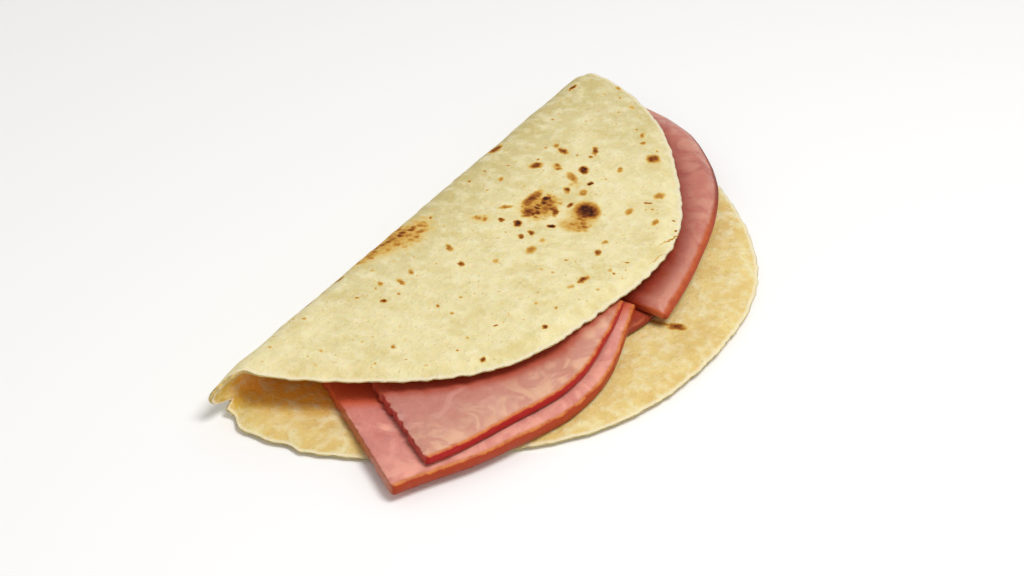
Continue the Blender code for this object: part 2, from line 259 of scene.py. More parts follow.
@dataclass(frozen=True)
class TortillaFinish:
    """Griddled flour tortilla: dry, floury and matt, cream where pale and toasted in blisters."""

    cream: str = "#E9DBA7"
    olive: str = "#DCCB8F"
    flour: str = "#F2E8BF"
    rim: str = "#F5E2BE"
    # Painted light: the thin edge wall gets a bright warm gold, standing in for the warm light that
    # would reach it where it lies in shade
    painted_rim_wall_light: str = "#FFD892"
    # Painted shade: a darker olive towards the fold's ridge and the far end, where the sheet turns
    # away from the light
    ridge: str = "#C2B074"
    inner: str = "#DCBC74"
    inner_pale: str = "#E6CC86"
    pore: str = "#AE9A5C"
    # Painted light: a bright saturated gold on the inner face under the upper sheet, standing in for
    # warm light bounced round inside the fold
    painted_cavity_light: str = "#F8BE50"
    # Painted shade: a darker olive on the inner face inside the bend
    fold_painted_shade: str = "#C6AC48"
    roughness: float = 0.82
    patch_size: float = 13.0
    mottle_size: float = 4.5
    crumb_size: float = 1.4
    speck_size: float = 2.1
    pore_size: float = 0.9
    # Size of the cells in mm, a speck's share of its cell, and how far it is toasted
    freckles: tuple[tuple[float, float, float], ...] = ((8.0, 0.11, 0.6), (4.2, 0.11, 0.4))
    waver_size: float = 2.2
    bubble_depth: float = 0.9
    grain_depth: float = 0.3
    pore_stretch: float = 2.2
    pore_turn: float = 0.5
    mark_reach: float = 1.6
    mark_core: float = 0.84
    specular: float = 0.14
    light_depth: float = 2.4
    burn: tuple[tuple[float, str], ...] = (
        (0.0, "#E8D694"), (0.18, "#E0C274"), (0.34, "#CE9C46"), (0.5, "#AC7028"),
        (0.68, "#7E3E14"), (0.95, "#36140A"))

    def toast(self, tree: bpy.types.NodeTree, place: bpy.types.NodeSocket) -> bpy.types.NodeSocket:
        """How far each point is toasted, from the marks.

        Args:
            tree: The material's nodes.
            place: Where the point is on the flat tortilla.

        Returns:
            Zero where untoasted, one where charred.
        """
        waver = add_node(tree, "ShaderNodeTexNoise",
                         {"Vector": place, "Scale": per_mm(self.waver_size), "Detail": 4.0,
                          "Roughness": 0.65})
        centred = add_node(tree, "ShaderNodeVectorMath",
                           {0: waver.outputs["Color"], 1: (0.5, 0.5, 0.5)}, operation="SUBTRACT")
        reach = self.waver_size * MM
        sway = add_node(tree, "ShaderNodeVectorMath",
                        {0: centred.outputs[0], 1: (reach, reach, 0.0)}, operation="MULTIPLY")
        warped = add_node(tree, "ShaderNodeVectorMath", {0: place, 1: sway.outputs[0]},
                          operation="ADD").outputs[0]
        specks = add_node(tree, "ShaderNodeTexVoronoi",
                          {"Vector": warped, "Scale": per_mm(self.speck_size)},
                          voronoi_dimensions="2D")
        chance = add_node(tree, "ShaderNodeSeparateColor", {"Color": specks.outputs["Color"]})
        darkest = add_node(tree, "ShaderNodeMapRange",
                           {"Value": chance.outputs["Red"], "From Min": 0.1, "From Max": 0.9,
                            "To Min": 0.42, "To Max": 1.05})
        gaps = add_node(tree, "ShaderNodeMapRange",
                        {"Value": specks.outputs["Distance"], "From Min": 0.8, "From Max": 0.1,
                         "To Min": 0.42, "To Max": darkest.outputs["Result"]},
                        interpolation_type="SMOOTHSTEP")
        spread = self.mark_reach * MM
        deepest = {False: 0.0, True: 0.0}
        for mark in TOAST_MARKS:
            local = add_node(tree, "ShaderNodeMapping",
                             {"Vector": warped,
                              "Location": (mark.u * MM, mark.v * MM, mark.face.value * THROUGH),
                              "Rotation": (0.0, 0.0, math.radians(mark.turn)),
                              "Scale": (spread * mark.length, spread * mark.width, 0.4 * THROUGH)},
                             vector_type="TEXTURE")
            near = add_node(tree, "ShaderNodeTexGradient", {"Vector": local.outputs[0]},
                            gradient_type="SPHERICAL")
            shade = add_node(tree, "ShaderNodeMapRange",
                             {"Value": near.outputs["Fac"], "From Max": self.mark_core,
                              "To Max": mark.toast.value}, interpolation_type="SMOOTHSTEP")
            deepest[mark.broken] = add_node(
                tree, "ShaderNodeMath", {0: deepest[mark.broken], 1: shade.outputs["Result"]},
                operation="MAXIMUM").outputs[0]
        crumbled = add_node(tree, "ShaderNodeMath", {0: deepest[True], 1: gaps.outputs["Result"]},
                            operation="MULTIPLY")
        return add_node(tree, "ShaderNodeMath", {0: deepest[False], 1: crumbled.outputs[0]},
                        operation="MAXIMUM").outputs[0]

    def freckle(self, tree: bpy.types.NodeTree,
                place: bpy.types.NodeSocket) -> bpy.types.NodeSocket:
        """Small scattered toasted specks that no mark names.

        Args:
            tree: The material's nodes.
            place: Where the point is on the flat tortilla.

        Returns:
            Zero between specks, up to about a half in one.
        """
        toasted = 0.0
        for size, radius, toast in self.freckles:
            cells = add_node(tree, "ShaderNodeTexVoronoi",
                             {"Vector": place, "Scale": per_mm(size)}, voronoi_dimensions="2D")
            dot = add_node(tree, "ShaderNodeMapRange",
                           {"Value": cells.outputs["Distance"], "From Min": radius,
                            "From Max": radius / 3})
            chosen = add_node(tree, "ShaderNodeSeparateColor", {"Color": cells.outputs["Color"]})
            kept = add_node(tree, "ShaderNodeMapRange",
                            {"Value": chosen.outputs["Red"], "From Min": 0.45, "From Max": 1.0,
                             "To Max": toast})
            shade = add_node(tree, "ShaderNodeMath",
                             {0: dot.outputs["Result"], 1: kept.outputs["Result"]},
                             operation="MULTIPLY")
            toasted = add_node(tree, "ShaderNodeMath", {0: toasted, 1: shade.outputs[0]},
                               operation="MAXIMUM").outputs[0]
        return toasted

    def make(self) -> bpy.types.Material:
        """Build the material.

        Returns:
            Griddled flour tortilla.
        """
        # Thin wheat dough off a hot griddle: matt and floury, so it gives no highlight, light
        # sinks a little way in, and soft blisters and pores break up its pale face
        material = bpy.data.materials.new("griddled_flour_tortilla")
        material.use_nodes = True
        tree = material.node_tree
        shader = tree.nodes["Principled BSDF"]
        place = add_node(tree, "ShaderNodeAttribute", attribute_name="flat_place").outputs["Vector"]
        rim, cover = (add_node(tree, "ShaderNodeAttribute", attribute_name=name).outputs["Fac"]
                      for name in ("rim", "cover"))
        along, across, inside = add_node(tree, "ShaderNodeSeparateXYZ", {0: place}).outputs
        stretched = add_node(tree, "ShaderNodeMapping",
                             {"Vector": place, "Scale": (1.0, self.pore_stretch, 1.0),
                              "Rotation": (0.0, 0.0, self.pore_turn)}).outputs[0]
        patch, mottle, crumb, pores = (
            add_node(tree, "ShaderNodeTexNoise",
                     {"Vector": vector, "Scale": per_mm(size), "Detail": detail,
                      "Roughness": roughness}).outputs["Fac"]
            for vector, size, detail, roughness in (
                (place, self.patch_size, 4.0, 0.6), (place, self.mottle_size, 4.0, 0.6),
                (place, self.crumb_size, 3.0, 0.6), (stretched, self.pore_size * 2, 2.0, 0.7)))
        outer, inner = (
            add_node(tree, "ShaderNodeValToRGB", {0: patch}, stops=stops).outputs[0]
            for stops in (((0.36, self.olive), (0.56, self.cream)),
                          ((0.38, self.inner), (0.6, self.inner_pale))))
        from_middle = add_node(tree, "ShaderNodeMath", {0: inside, 1: 0.5 * THROUGH},
                               operation="SUBTRACT").outputs[0]
        from_middle = add_node(tree, "ShaderNodeMath", {0: from_middle},
                               operation="ABSOLUTE").outputs[0]

        masks: dict[str, bpy.types.NodeSocket] = {}
        # Each mask: what it reads, where it starts, where it is full, and its most
        for name, value, start, full, most, ramp in (
                # Painted shade towards the fold's ridge and the far end
                ("ridge_up", across, 40 * MM, 12 * MM, 0.75, "SMOOTHSTEP"),
                ("ridge_along", along, -80 * MM, -10 * MM, 1.0, "SMOOTHSTEP"),
                ("far_end", along, 50 * MM, 100 * MM, 0.55, "SMOOTHSTEP"),
                # Painted shade on the inner face inside the bend
                ("in_fold", across, -12 * MM, 2 * MM, 0.9, "SMOOTHSTEP"),
                ("rim", rim, 1.8 * MM, 0.5 * MM, 0.9, "SMOOTHSTEP"),
                ("off_rim", rim, 2.5 * MM, 5.0 * MM, 1.0, "LINEAR"),
                # Under the upper sheet, where painted light goes on the inner face and painted shade
                # on the meat
                ("painted_under_sheet", cover, -2.0 * MM, 7.0 * MM, 1.0, "LINEAR"),
                ("inner", inside, 0.4 * THROUGH, 0.75 * THROUGH, 1.0, "LINEAR"),
                ("outer", inside, 0.75 * THROUGH, 0.4 * THROUGH, 1.0, "LINEAR"),
                # Painted light on the thin edge wall
                ("painted_rim_wall_light", from_middle, 0.49 * THROUGH, 0.3 * THROUGH, 1.0, "LINEAR"),
                ("floury", mottle, 0.45, 0.68, 0.65, "LINEAR"),
                ("pore", pores, 0.6, 0.72, 0.42, "LINEAR")):
            masks[name] = add_node(tree, "ShaderNodeMapRange",
                                   {"Value": value, "From Min": start, "From Max": full,
                                    "To Max": most}, interpolation_type=ramp).outputs["Result"]

        shaken = add_node(tree, "ShaderNodeTexNoise",
                          {"Vector": place, "Scale": per_mm(self.waver_size), "Detail": 3.0})
        reach = self.waver_size * MM
        shaken = add_node(tree, "ShaderNodeVectorMath",
                          {0: shaken.outputs["Color"], 1: (reach, reach, 0.0), 2: place},
                          operation="MULTIPLY_ADD")
        masks["freckle"] = self.freckle(tree, shaken.outputs[0])
        masks["mark"] = self.toast(tree, place)
        masks["grit"] = add_node(tree, "ShaderNodeMapRange",
                                 {"Value": crumb, "From Min": 0.3, "From Max": 0.7,
                                  "To Min": 0.72, "To Max": 1.12}).outputs["Result"]
        for name, one, other, operation in (
                ("ridge", "ridge_up", "ridge_along", "MULTIPLY"),
                ("ridge", "ridge", "far_end", "MAXIMUM"),
                ("in_fold", "in_fold", "inner", "MULTIPLY"),
                # Painted light on the inner face under the upper sheet
                ("painted_cavity_light", "painted_under_sheet", "inner", "MULTIPLY"),
                ("freckle", "freckle", "off_rim", "MULTIPLY"),
                ("freckle", "freckle", "outer", "MULTIPLY"),
                ("toasted", "mark", "freckle", "MAXIMUM"),
                ("toasted", "toasted", "grit", "MULTIPLY")):
            masks[name] = add_node(tree, "ShaderNodeMath", {0: masks[one], 1: masks[other]},
                                   operation=operation).outputs[0]
        burn = add_node(tree, "ShaderNodeValToRGB", {0: masks["toasted"]}, stops=self.burn)
        masks["burnt"] = add_node(tree, "ShaderNodeMapRange",
                                  {"Value": masks["toasted"], "From Min": 0.05,
                                   "From Max": 0.26}).outputs["Result"]

        base = outer
        for name, colour in (
                ("ridge", linear(self.ridge)), ("inner", inner), ("in_fold", linear(self.fold_painted_shade)),
                ("painted_cavity_light", linear(self.painted_cavity_light)), ("floury", linear(self.flour)),
                ("pore", linear(self.pore)), ("rim", linear(self.rim)),
                ("painted_rim_wall_light", linear(self.painted_rim_wall_light)), ("burnt", burn.outputs[0])):
            base = add_node(tree, "ShaderNodeMix", {0: masks[name], 6: base, 7: colour},
                            data_type="RGBA").outputs[2]

        bubbles = add_node(tree, "ShaderNodeBump",
                           {"Strength": 1.0, "Distance": self.bubble_depth * MM,
                            "Height": mottle})
        grain = add_node(tree, "ShaderNodeBump",
                         {"Strength": 1.0, "Distance": self.grain_depth * MM,
                          "Height": crumb, "Normal": bubbles.outputs[0]})
        tree.links.new(base, shader.inputs["Base Color"])
        tree.links.new(grain.outputs[0], shader.inputs["Normal"])
        for name, value in (
                ("Roughness", self.roughness), ("Specular IOR Level", self.specular),
                ("Subsurface Weight", 0.5), ("Subsurface Radius", (1.0, 0.7, 0.3)),
                ("Subsurface Scale", self.light_depth * MM)):
            shader.inputs[name].default_value = value
        return material


@dataclass
class Tortilla:
    """A flat disc rolled over once into a lower and an upper sheet."""

    thickness: float = 2.2
    radius: float = 98.9
    centre: tuple[float, float] = (1.5, -6.0)
    rim_taper: float = 0.8
    rim_width: float = 0.06
    # Waves round the edge: how many, how far in mm, and a peak's place in degrees
    edge_waves: tuple[tuple[int, float, float], ...] = (
        (2, 5.3, 7.0), (3, 1.0, 9.0), (4, 1.4, 12.0), (6, 1.1, 7.0), (7, 0.8, -24.0))
    # Dips and bulges of the edge near the fold's left end: how far in mm, place and half width
    # in degrees
    edge_marks: tuple[tuple[float, float, float], ...] = (
        (-0.9, 163.0, 2.0), (-2.8, 167.3, 2.4), (3.0, 172.3, 1.8), (-4.4, 176.8, 2.2),
        (-1.1, 183.0, 3.0), (-1.7, 187.6, 1.5), (-5.0, 174.6, 0.55), (0.6, 190.2, 0.6))
    edge_tear: float = 0.42
    fray: float = 0.35
    frayed_at: tuple[float, float] = (124.0, 30.0)
    fold_end: tuple[float, float] = (171.0, 5.0)
    thicker_fold_end: float = 0.45
    bend_radius: float = 6.4
    fold_y: float = -2.9
    lower_edge_lift: float = 0.7
    curl_from: float = 78.0
    curl_width: float = 26.0
    # Soft unevenness of the outer face: size in mm, seed and height in mm
    swellings: tuple[tuple[float, float, float], ...] = ((15.0, 2.0, 0.45), (6.5, 5.0, 0.2))
    blisters: tuple[float, float, float] = (4.5, 7.0, 0.4)
    wave_start: float = 30.0
    upper_sheet_wave: float = 0.35
    crossing_bump: float = 1.4
    crossing_at: tuple[float, float] = (-14.0, -62.0)
    crossing_width: tuple[float, float] = (24.0, 30.0)
    columns: int = 204
    lower_rows: int = 98
    bend_rows: int = 30
    upper_rows: int = 82
    finish: TortillaFinish = field(default_factory=TortillaFinish)

    @property
    def bend_length(self) -> float:
        """Length of the rolled strip between the two sheets."""
        return math.pi * self.bend_radius

    def edge_radius(self, angle: float) -> float:
        """How far the flat tortilla's edge is from its centre.

        Args:
            angle: The direction, in radians.

        Returns:
            The distance in millimetres.
        """
        swing = sum(far * math.cos(count * (angle - math.radians(peak)))
                    for count, far, peak in self.edge_waves)
        turned = math.degrees(angle) % 360
        marks = sum(far * math.exp(-((turned - peak) / width) ** 2)
                    for far, peak, width in self.edge_marks)
        x, y = math.cos(angle) * self.radius, math.sin(angle) * self.radius
        frayed = math.exp(-((turned - self.frayed_at[0]) / self.frayed_at[1]) ** 2)
        tear = self.edge_tear + self.fray * frayed
        torn = tear * (ripple(x, y, 4.0, 4.0) + 0.5 * ripple(x, y, 1.8, 9.0))
        return self.radius + swing + marks + torn

    def row_place(self, fraction: float) -> float:
        """Where a row lies across the disc, with rows close at the bend.

        Args:
            fraction: The row's share of the way from the lower edge to the upper one.

        Returns:
            The place, -1 to 1.
        """
        low = (self.fold_y - 1 - self.centre[1]) / self.radius
        high = (self.fold_y + self.bend_length + 1 - self.centre[1]) / self.radius
        total = self.lower_rows + self.bend_rows + self.upper_rows
        marks = (0.0, self.lower_rows / total, (self.lower_rows + self.bend_rows) / total, 1.0)
        return float(np.interp(fraction, marks, (-1.0, low, high, 1.0)))

    def flat(self, s: float, t: float, inset: float) -> tuple[float, float, float]:
        """A point of the unit square, taken onto the flat tortilla.

        Args:
            s: Share of the way along the fold.
            t: Share of the way from the lower edge to the upper one.
            inset: How far the rim is drawn in here.

        Returns:
            The place on the flat disc and its distance from the edge.
        """
        x, y = 2 * s - 1, self.row_place(t)
        across, along = x * math.sqrt(1 - y * y / 2), y * math.sqrt(1 - x * x / 2)
        share = math.hypot(across, along)
        share += 0.7 * share ** 12 * (1 - share)
        angle = math.atan2(along, across)
        reach = self.edge_radius(angle)
        out = share * (reach - inset)
        u = self.centre[0] + out * math.cos(angle)
        v = self.centre[1] + out * math.sin(angle)
        return u, v, reach - out

    def lower_lift(self, x: float, y: float) -> float:
        """How far the lower sheet's rim curls up from the table."""
        curl = smooth_step((math.hypot(x, y) - self.curl_from) / self.curl_width)
        return self.lower_edge_lift * curl * (0.5 - 0.5 * math.sin(3 * math.atan2(-y, -x)))

    def upper_lift(self, x: float, y: float) -> float:
        """How far the upper sheet waves from a level plane.

        Args:
            x: Place along the fold.
            y: Place across it on the plan.

        Returns:
            The height in millimetres.
        """
        away = smooth_step((self.fold_y - y) / self.wave_start)
        wave = math.sin(x / 17 + 0.6) * math.cos(y / 15 - 0.4) + 0.6 * math.sin(x / 9.5 - y / 13)
        off_x = (x - self.crossing_at[0]) / self.crossing_width[0]
        off_y = (y - self.crossing_at[1]) / self.crossing_width[1]
        bump = math.exp(-off_x * off_x - off_y * off_y)
        return away * (self.upper_sheet_wave * wave + self.crossing_bump * bump)

    def rim_share(self, u: float, v: float) -> float:
        """The share of its full thickness that the sheet has, less at its rim.

        Args:
            u: Place along the fold.
            v: Place across it on the flat disc.

        Returns:
            One inside, less towards the edge.
        """
        x, y = u - self.centre[0], v - self.centre[1]
        out = math.hypot(x, y) / self.edge_radius(math.atan2(y, x))
        turned = math.degrees(math.atan2(y, x)) % 360
        whole = math.exp(-((turned - self.fold_end[0]) / self.fold_end[1]) ** 2)
        taper = self.rim_taper * (1 - self.thicker_fold_end * whole)
        return 1 - taper * smooth_step((out - 1 + self.rim_width) / self.rim_width)

    def cover(self, x: float, y: float) -> float:
        """How far inside the upper sheet's outline a point of the plan is.

        Args:
            x: Place along the fold.
            y: Place across it on the plan.

        Returns:
            The distance in millimetres, less than zero outside.
        """
        v = 2 * self.fold_y + self.bend_length - y
        off_x, off_y = x - self.centre[0], v - self.centre[1]
        return self.edge_radius(math.atan2(off_y, off_x)) - math.hypot(off_x, off_y)

    def swell(self, u: float, v: float) -> float:
        """Soft unevenness of the sheet, never below level.

        Args:
            u: Place along the fold.
            v: Place across it on the flat disc.

        Returns:
            The height in millimetres.
        """
        broad = sum(height * (0.5 + 0.5 * ripple(u, v, size, seed))
                    for size, seed, height in self.swellings)
        size, seed, height = self.blisters
        return broad + height * max(ripple(u, v, size, seed) - 0.2, 0.0)

    def fold(self, u: float, v: float, level: float) -> tuple[float, float, float]:
        """A point of the flat tortilla, rolled over the fold.

        Args:
            u: Place along the fold.
            v: Place across it on the flat disc.
            level: Height over the flat disc's mid face, inner face up.

        Returns:
            The point on the plan, in millimetres.
        """
        floor = self.thickness / 2
        inward = level * self.rim_share(u, v)
        if level < 0 and v > self.fold_y:
            off_table = smooth_step((v - self.fold_y) / self.bend_radius)
            inward -= off_table * self.swell(u, v) * self.rim_share(u, v) ** 2
        if v <= self.fold_y:
            return u, v, floor + inward + self.lower_lift(u, v)
        turned = (v - self.fold_y) / self.bend_radius
        if turned < math.pi:
            arm = self.bend_radius - inward
            return (u, self.fold_y + arm * math.sin(turned),
                    floor + self.bend_radius - arm * math.cos(turned))
        y = 2 * self.fold_y + self.bend_length - v
        return u, y, floor + 2 * self.bend_radius - inward + self.upper_lift(u, y)

    def build(self) -> bpy.types.Object:
        """Build the folded tortilla.

        Returns:
            The piece that stands for the tortilla.
        """
        slab = unit_slab(self.columns, self.lower_rows + self.bend_rows + self.upper_rows, 5)
        place = slab.verts.layers.float_vector.new("flat_place")
        rim = slab.verts.layers.float.new("rim")
        cover = slab.verts.layers.float.new("cover")
        rim_radius = self.thickness * (1 - self.rim_taper) / 2
        for point in slab.verts:
            s, t, level = point.co
            # Rounded, so that the rim's middle ring is exactly level in each run
            level = math.sin(round(level, 5) * math.pi / 2)
            inset = rim_radius * (1 - math.sqrt(max(1 - level * level, 0)))
            u, v, from_edge = self.flat(s, t, inset)
            point[place] = (u * MM, v * MM, (0.5 + 0.5 * level) * THROUGH)
            point[rim] = from_edge * MM
            point.co = self.fold(u, v, level * self.thickness / 2)
            point[cover] = self.cover(point.co.x, point.co.y) * MM
        return finish_piece("tortilla", slab, self.finish.make())


# Ham


@dataclass(frozen=True)
class HamFinish:
    """Smoked, cooked ham: moist pink meat with pale fat and seams, inside a darker, drier skin."""

    name: str
    meat: str = "#D49682"
    pale: str = "#EDBBA2"
    fat: str = "#ECB69C"
    deep: str = "#BE7665"
    crease: str = "#A8706C"
    # The side walls' colour: the cut meat, partly darkened and reddened as painted shade
    cut: str = "#C06A54"
    # Painted shade: the deep red the meat takes under the tortilla's free edge, reaching shade_reach
    # mm out past it
    shade: str = "#AC3A1E"
    skin: str = "#C0501E"
    # Painted highlight along the skin's top edge and painted shade towards its foot
    skin_painted_highlight: str = "#E08C40"
    skin_painted_shade: str = "#8A2A14"
    skin_far: str = ""
    grain_size: float = 7.0
    fibre_size: float = 1.6
    smoke_size: float = 3.5
    grit_size: float = 1.4
    fibre_depth: float = 0.3
    grit_depth: float = 0.06
    skin_depth: float = 0.6
    skin_fade: tuple[float, float] = (1.3, 0.4)
    skin_waver: float = 1.2
    skin_thins: float = 0.7
    shade_reach: float = 3.2
    roughness: float = 0.42
    wetter: float = 0.16
    drier: float = 0.1
    skin_drier: float = 0.15
    light_depth: float = 2.5

    def make(self) -> bpy.types.Material:
        """Build the material.

        Returns:
            Cooked ham with its smoked skin.
        """
        # Cured pork, cooked and sliced: moist, so it has a soft broad sheen and light sinks in a
        # little, pink with paler fat and seams. Its skin is smoked darker and drier.
        material = bpy.data.materials.new(self.name)
        material.use_nodes = True
        tree = material.node_tree
        shader = tree.nodes["Principled BSDF"]
        place = add_node(tree, "ShaderNodeTexCoord").outputs["Object"]
        read = {name: add_node(tree, "ShaderNodeAttribute", attribute_name=name).outputs["Fac"]
                for name in ("from_skin", "level", "cover")}
        read["along"] = add_node(tree, "ShaderNodeSeparateXYZ", {0: place}).outputs["X"]
        for name, size, detail, roughness, swirl in (
                ("lobes", self.grain_size * 2, 3.0, 0.5, 1.2),
                ("folds", self.grain_size * 1.7, 2.0, 0.5, 2.2),
                ("fibres", self.fibre_size * 2, 4.0, 0.6, 0.6),
                ("smoke", self.smoke_size, 3.0, 0.6, 0.0),
                ("grit", self.grit_size, 2.0, 0.5, 0.0)):
            read[name] = add_node(tree, "ShaderNodeTexNoise",
                                  {"Vector": place, "Scale": per_mm(size), "Detail": detail,
                                   "Roughness": roughness, "Distortion": swirl}).outputs["Fac"]
        # Each sum: its name, what it does, and with what
        for name, operation, *terms in (
                ("swirl", "SUBTRACT", "folds", 0.5),
                ("swirl", "ABSOLUTE", "swirl"),
                ("from_middle", "ABSOLUTE", "level"),
                ("skin_painted_light_and_streak", "MULTIPLY_ADD", "level", 0.5, 0.25),
                ("skin_painted_light_and_streak", "MULTIPLY_ADD", "smoke", 0.5, "skin_painted_light_and_streak")):
            read[name] = add_node(tree, "ShaderNodeMath",
                                  {i: read.get(term, term) for i, term in enumerate(terms)},
                                  operation=operation).outputs[0]

        # Each mask: what it reads, where it starts, where it is full, its least and its most
        for name, source, start, full, least, most, ramp in (
                ("crease", "swirl", 0.04, 0.0, 0.0, 0.2, "SMOOTHSTEP"),
                ("outer", "from_skin", 18 * MM, 3 * MM, 0.0, 1.0, "SMOOTHSTEP"),
                ("patches", "folds", 0.4, 0.62, 0.25, 0.9, "SMOOTHSTEP"),
                ("seam", "fibres", 0.5, 0.75, 0.0, 0.3, "LINEAR"),
                # The side walls: partly the cut meat's own colour, partly painted shade
                ("cut", "from_middle", 0.98, 0.85, 0.0, 0.85, "LINEAR"),
                # Painted shade under and just outside the tortilla's free edge
                ("painted_under_sheet", "cover", -self.shade_reach * MM, 1.5 * MM, 0.0, 0.9, "SMOOTHSTEP"),
                ("far_end", "along", 45 * MM, 80 * MM, 0.0, 1.0, "SMOOTHSTEP"),
                ("wet", "smoke", 0.35, 0.6, self.roughness - self.wetter,
                 self.roughness + self.drier, "LINEAR")):
            read[name] = add_node(tree, "ShaderNodeMapRange",
                                  {"Value": read[source], "From Min": start, "From Max": full,
                                   "To Min": least, "To Max": most},
                                  interpolation_type=ramp).outputs["Result"]
        for name, operation, *terms in (
                ("fatty", "MULTIPLY", "outer", "patches"),
                ("skin_edge", "MULTIPLY_ADD", "far_end", self.skin_thins * MM, "from_skin"),
                ("skin_edge", "MULTIPLY_ADD", "smoke", self.skin_waver * MM, "skin_edge")):
            read[name] = add_node(tree, "ShaderNodeMath",
                                  {i: read.get(term, term) for i, term in enumerate(terms)},
                                  operation=operation).outputs[0]
        skin = add_node(tree, "ShaderNodeMapRange",
                        {"Value": read["skin_edge"],
                         "From Min": (self.skin_depth + self.skin_fade[0]) * MM,
                         "From Max": (self.skin_depth + self.skin_fade[1]) * MM}).outputs["Result"]

        base = add_node(tree, "ShaderNodeValToRGB", {0: read["lobes"]},
                        stops=((0.3, self.deep), (0.45, self.meat), (0.55, self.meat),
                               (0.7, self.pale))).outputs[0]
        for name, colour in (("crease", self.crease), ("fatty", self.fat), ("seam", self.pale),
                             ("cut", self.cut), ("painted_under_sheet", self.shade)):
            base = add_node(tree, "ShaderNodeMix", {0: read[name], 6: base, 7: linear(colour)},
                            data_type="RGBA").outputs[2]
        # The skin darkens to painted shade at the foot of its wall and lightens to a painted highlight
        # along its top edge, broken by smoky streaks
        smoked = add_node(tree, "ShaderNodeValToRGB", {0: read["skin_painted_light_and_streak"]},
                          stops=((0.0, self.skin_painted_shade), (0.3, self.skin), (0.85, self.skin),
                                 (1.0, self.skin_painted_highlight))).outputs[0]
        smoked = add_node(tree, "ShaderNodeMix",
                          {0: read["far_end"], 6: smoked, 7: linear(self.skin_far or self.skin)},
                          data_type="RGBA").outputs[2]
        base = add_node(tree, "ShaderNodeMix", {0: skin, 6: base, 7: smoked},
                        data_type="RGBA").outputs[2]

        lumps = add_node(tree, "ShaderNodeBump",
                         {"Strength": 1.0, "Distance": self.fibre_depth * MM,
                          "Height": read["fibres"]})
        grain = add_node(tree, "ShaderNodeBump",
                         {"Strength": 1.0, "Distance": self.grit_depth * MM,
                          "Height": read["grit"], "Normal": lumps.outputs[0]})
        roughness = add_node(tree, "ShaderNodeMath", {0: skin, 1: self.skin_drier, 2: read["wet"]},
                             operation="MULTIPLY_ADD")
        for name, value in (("Base Color", base), ("Normal", grain.outputs[0]),
                            ("Roughness", roughness.outputs[0])):
            tree.links.new(value, shader.inputs[name])
        for name, value in (
                ("Specular IOR Level", 0.28), ("Coat Weight", 0.08), ("Coat Roughness", 0.25),
                ("Subsurface Weight", 0.15), ("Subsurface Radius", (1.0, 0.3, 0.2)),
                ("Subsurface Scale", self.light_depth * MM)):
            shader.inputs[name].default_value = value
        return material


@dataclass
class HeightMap:
    """Heights over the plan, one value per millimetre."""

    x_range: tuple[int, int] = (-130, 130)
    y_range: tuple[int, int] = (-112, 12)

    def axes(self) -> list[np.ndarray]:
        """The X and Y of every value.

        Returns:
            A map of X and a map of Y.
        """
        x = np.arange(self.x_range[0], self.x_range[1] + 1)
        y = np.arange(self.y_range[0], self.y_range[1] + 1)
        return np.meshgrid(x, y, indexing="ij")

    def spread(self, heights: np.ndarray, reach: int,
               join: Callable[..., np.ndarray]) -> np.ndarray:
        """Join each height with those near it.

        Args:
            heights: The map.
            reach: How near, in millimetres.
            join: What joins them, such as their highest or their mean.

        Returns:
            The joined map.
        """
        padded = np.pad(heights, reach, mode="edge")
        wide, deep = heights.shape
        near = [padded[reach + i:reach + i + wide, reach + j:reach + j + deep]
                for i in range(-reach, reach + 1)
                for j in range(-reach, reach + 1)
                if i * i + j * j <= reach * reach]
        return join(np.stack(near), axis=0)

    def at(self, heights: np.ndarray, x: float, y: float) -> float:
        """The height at a point, between its four nearest.

        Args:
            heights: The map.
            x: Place along the fold.
            y: Place across it on the plan.

        Returns:
            The height in millimetres.
        """
        column = min(max(x - self.x_range[0], 0), heights.shape[0] - 1.001)
        row = min(max(y - self.y_range[0], 0), heights.shape[1] - 1.001)
        i, j = int(column), int(row)
        a, b = column - i, row - j
        near = heights[i:i + 2, j:j + 2]
        return float(near[0, 0] * (1 - a) * (1 - b) + near[1, 0] * a * (1 - b)
                     + near[0, 1] * (1 - a) * b + near[1, 1] * a * b)


